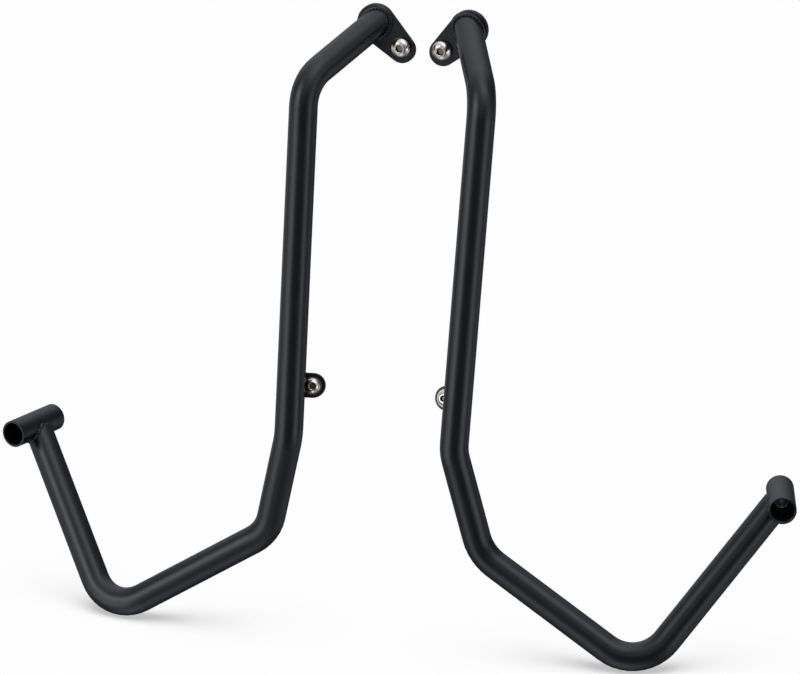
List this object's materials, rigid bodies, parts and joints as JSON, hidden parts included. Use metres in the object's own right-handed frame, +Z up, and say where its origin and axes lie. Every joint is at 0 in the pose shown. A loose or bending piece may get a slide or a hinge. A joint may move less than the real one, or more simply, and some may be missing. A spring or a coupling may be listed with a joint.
{
  "type": "motorcycle crash bars",
  "caption": "Mirrored pair of bent steel tube crash bars with a bolted upper lug, a bolted middle tab and an open cross sleeve at the lower end.",
  "frame": {"origin": "middle of the pair's footprint, at the height of the two lowest bends", "axes": "+Z up, +X from the left bar to the right bar, +Y away from the viewer; the bars mirror each other about X = 0"},
  "size_m": [0.741, 0.1806, 0.5444],
  "materials": {
    "black_coat": "satin powder coat",
    "bright_steel": "bright"
  },
  "bodies": {
    "root": {"left_main_tube": "black_coat", "left_upper_lug": "black_coat", "left_upper_weld": "black_coat", "left_upper_washer": "bright_steel", "left_upper_bolt": "bright_steel", "left_middle_tab": "black_coat", "left_middle_weld": "black_coat", "left_middle_washer": "bright_steel", "left_middle_bolt": "bright_steel", "left_sleeve": "black_coat", "left_sleeve_weld": "black_coat", "right_main_tube": "black_coat", "right_upper_lug": "black_coat", "right_upper_weld": "black_coat", "right_upper_washer": "bright_steel", "right_upper_bolt": "bright_steel", "right_middle_tab": "black_coat", "right_middle_weld": "black_coat", "right_middle_washer": "bright_steel", "right_middle_bolt": "bright_steel", "right_sleeve": "black_coat", "right_sleeve_weld": "black_coat"}
  },
  "joints": []
}
